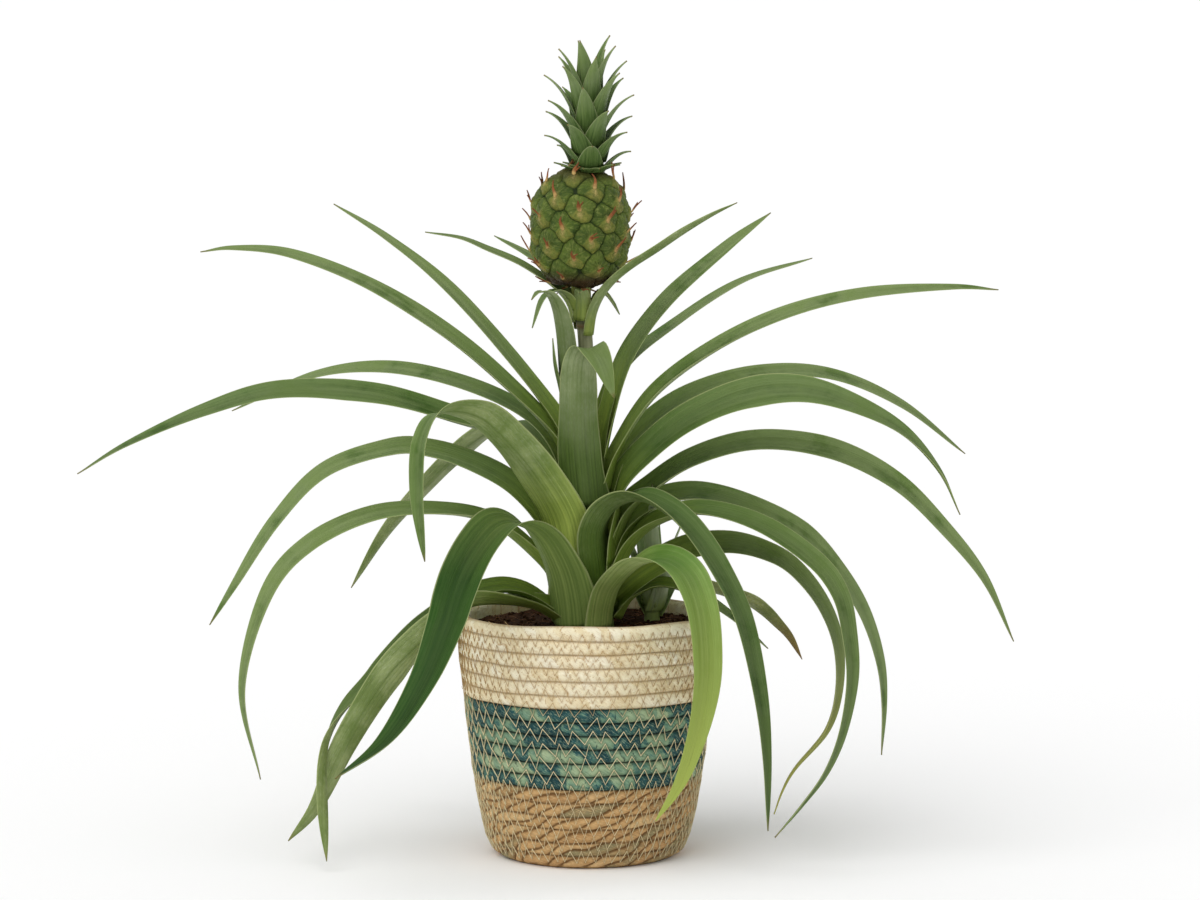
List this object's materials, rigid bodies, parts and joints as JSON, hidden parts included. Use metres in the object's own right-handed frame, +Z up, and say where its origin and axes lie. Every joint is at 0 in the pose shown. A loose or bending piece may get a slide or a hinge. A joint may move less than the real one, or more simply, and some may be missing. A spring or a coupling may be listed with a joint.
{
  "type": "potted pineapple plant",
  "caption": "Dwarf pineapple plant with arching leaves, a small green fruit under a leafy crown, and a young offset, growing in a coiled straw basket planter.",
  "frame": {"origin": "centre of the basket's flat foot, on the surface that the basket stands on", "axes": "+Z up along the plant, -Y towards the viewer, +X to the viewer's right"},
  "size_m": [0.5428, 0.3489, 0.4775],
  "materials": {
    "straw_tan": "matte",
    "straw_teal": "matte",
    "straw_cream": "matte",
    "soil": "matte",
    "stem": "satin",
    "leaf": "satin",
    "offset_leaf": "satin",
    "crown_leaf": "satin",
    "fruit_skin": "satin"
  },
  "bodies": {
    "root": {"basket_tan_band": "straw_tan", "basket_teal_band": "straw_teal", "basket_cream_band": "straw_cream", "soil": "soil", "stem": "stem", "offset": "offset_leaf", "stalk_leaf_right": "leaf", "stalk_leaf_left": "leaf", "stalk_leaf_behind": "leaf", "stalk_leaf_rolled": "leaf", "stalk_bract_left": "leaf", "stalk_bract_right": "leaf", "heart_leaf_left": "leaf", "heart_leaf_curled": "leaf", "heart_leaf_front": "leaf", "right_leaf_1": "leaf", "right_leaf_2": "leaf", "right_leaf_3": "leaf", "right_leaf_4": "leaf", "right_leaf_5": "leaf", "right_leaf_6": "leaf", "right_leaf_7": "leaf", "right_leaf_8": "leaf", "right_leaf_9": "leaf", "right_leaf_10": "leaf", "right_leaf_11": "leaf", "right_leaf_12": "leaf", "right_leaf_13": "leaf", "left_leaf_1": "leaf", "left_leaf_2": "leaf", "left_leaf_3": "leaf", "left_leaf_4": "leaf", "left_leaf_5": "leaf", "left_leaf_6": "leaf", "left_leaf_7": "leaf", "left_leaf_8": "leaf", "left_leaf_9": "leaf", "left_leaf_10": "leaf", "left_leaf_11": "leaf", "back_leaf_1": "leaf", "back_leaf_2": "leaf", "back_leaf_3": "leaf", "back_leaf_4": "leaf", "crown": "crown_leaf", "fruit": "fruit_skin"}
  },
  "joints": []
}
